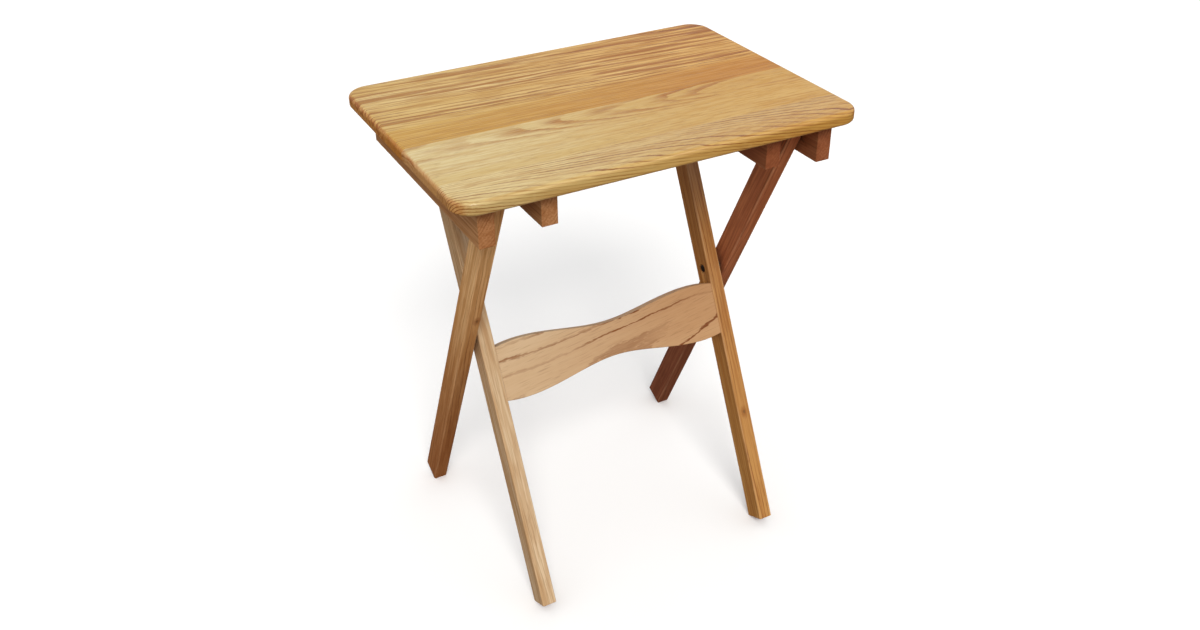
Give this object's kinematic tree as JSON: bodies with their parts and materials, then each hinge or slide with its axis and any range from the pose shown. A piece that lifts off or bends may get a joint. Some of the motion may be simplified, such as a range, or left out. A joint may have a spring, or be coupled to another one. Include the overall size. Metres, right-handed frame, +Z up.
{
  "type": "folding tray table",
  "caption": "Small folding oak tray table with a rounded rectangular top, crossed leg pairs on pivot bolts and a wavy stretcher between the inner legs.",
  "frame": {"origin": "on the floor, under the middle of the top", "axes": "+X along the long side of the top, +Y from the front edge, where the outer legs meet the top, to the back, +Z up"},
  "size_m": [0.55, 0.388, 0.66],
  "materials": {
    "oak_top": "clear satin varnish on honey oak",
    "oak_leg": "clear satin varnish on honey oak",
    "oak_dark": "clear satin varnish on honey oak",
    "beech": "bare turned dowel",
    "black_steel": "black oxide",
    "screw_steel": "bright zinc plate",
    "brass": "machined",
    "nylon": "moulded washer"
  },
  "bodies": {
    "outer_legs": {"outer_leg_left": "oak_leg", "cross_insert_left": "brass", "cross_bolt_left": "black_steel", "cross_washer_left": "black_steel", "cross_spacer_left": "nylon", "outer_leg_right": "oak_leg", "cross_insert_right": "brass", "cross_bolt_right": "black_steel", "cross_washer_right": "black_steel", "cross_spacer_right": "nylon"},
    "inner_frame": {"inner_leg_left": "oak_leg", "inner_leg_right": "oak_leg", "stretcher": "oak_leg", "stretcher_dowels": "beech"},
    "top": {"top_board_front": "oak_top", "top_board_wide": "oak_top", "top_board_middle": "oak_top", "top_board_back": "oak_top", "outer_cleat_left": "oak_dark", "inner_cleat_left": "oak_dark", "leg_stop_left": "oak_dark", "cleat_screws_left": "screw_steel", "top_bolt_left": "black_steel", "top_spacer_left": "nylon", "top_insert_left": "brass", "outer_cleat_right": "oak_dark", "inner_cleat_right": "oak_dark", "leg_stop_right": "oak_dark", "cleat_screws_right": "screw_steel", "top_bolt_right": "black_steel", "top_spacer_right": "nylon", "top_insert_right": "brass", "stop_screws": "screw_steel"}
  },
  "joints": [
    {"name": "top_tilt", "type": "hinge", "parent": "outer_legs", "child": "top", "pos_m": [0, -0.12737, 0.619], "axis": [1, 0, 0], "range_deg": [0, 116.1]},
    {"name": "leg_fold", "type": "hinge", "parent": "outer_legs", "child": "inner_frame", "pos_m": [0, 0, 0.359], "axis": [1, 0, 0], "range_deg": [0, 52.2]}
  ],
  "couplings": [
    {"joint": "leg_fold", "follows": "top_tilt", "ratio": 0.44961}
  ]
}
